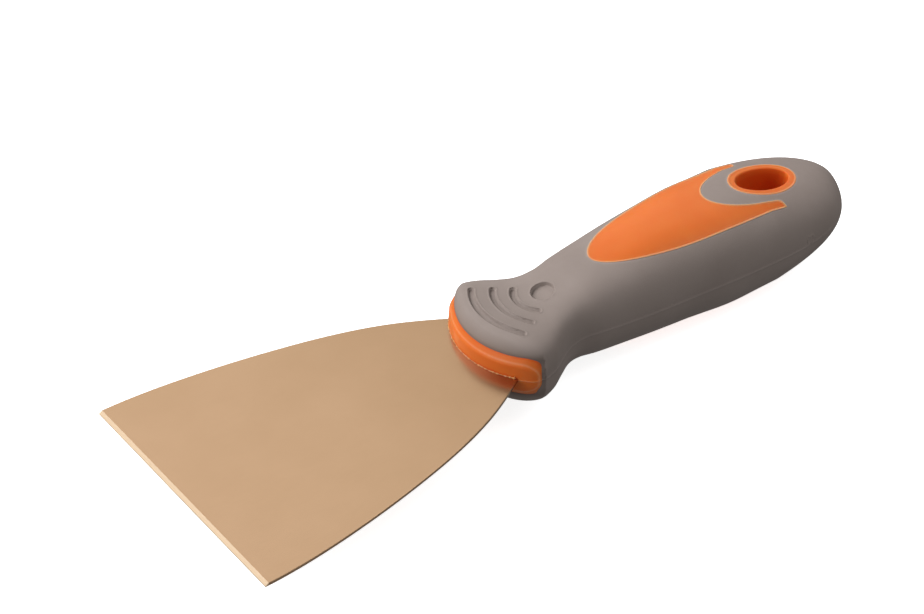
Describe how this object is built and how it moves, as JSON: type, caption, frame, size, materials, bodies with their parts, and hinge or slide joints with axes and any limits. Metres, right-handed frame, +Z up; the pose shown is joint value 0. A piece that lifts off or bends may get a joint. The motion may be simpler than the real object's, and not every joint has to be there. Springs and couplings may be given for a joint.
{
  "type": "flexible putty knife",
  "caption": "Flexible putty knife: a flared copper-alloy blade with a bevelled edge, moulded into a soft-grip handle with a hang hole.",
  "frame": {"origin": "middle of the knife's length and width, on the middle plane of the blade's thickness", "axes": "+X from the blade's edge towards the butt of the handle, +Y across the blade, +Z up, square to the blade's face"},
  "size_m": [0.2048, 0.076, 0.0302],
  "materials": {
    "copper_alloy": "satin, fine-ground",
    "orange_plastic": "moulded polypropylene, satin",
    "grey_rubber": "matte thermoplastic rubber"
  },
  "bodies": {
    "handle": {"handle_core": "orange_plastic", "soft_grip": "grey_rubber"},
    "blade": {"blade": "copper_alloy"}
  },
  "joints": [
    {"name": "blade_flex", "type": "hinge", "parent": "handle", "child": "blade", "pos_m": [-0.0364, 0, 0], "axis": [0, 1, 0], "range_deg": [-12, 12], "stiffness_Nm_per_rad": 6, "deforming": ["blade"]}
  ]
}
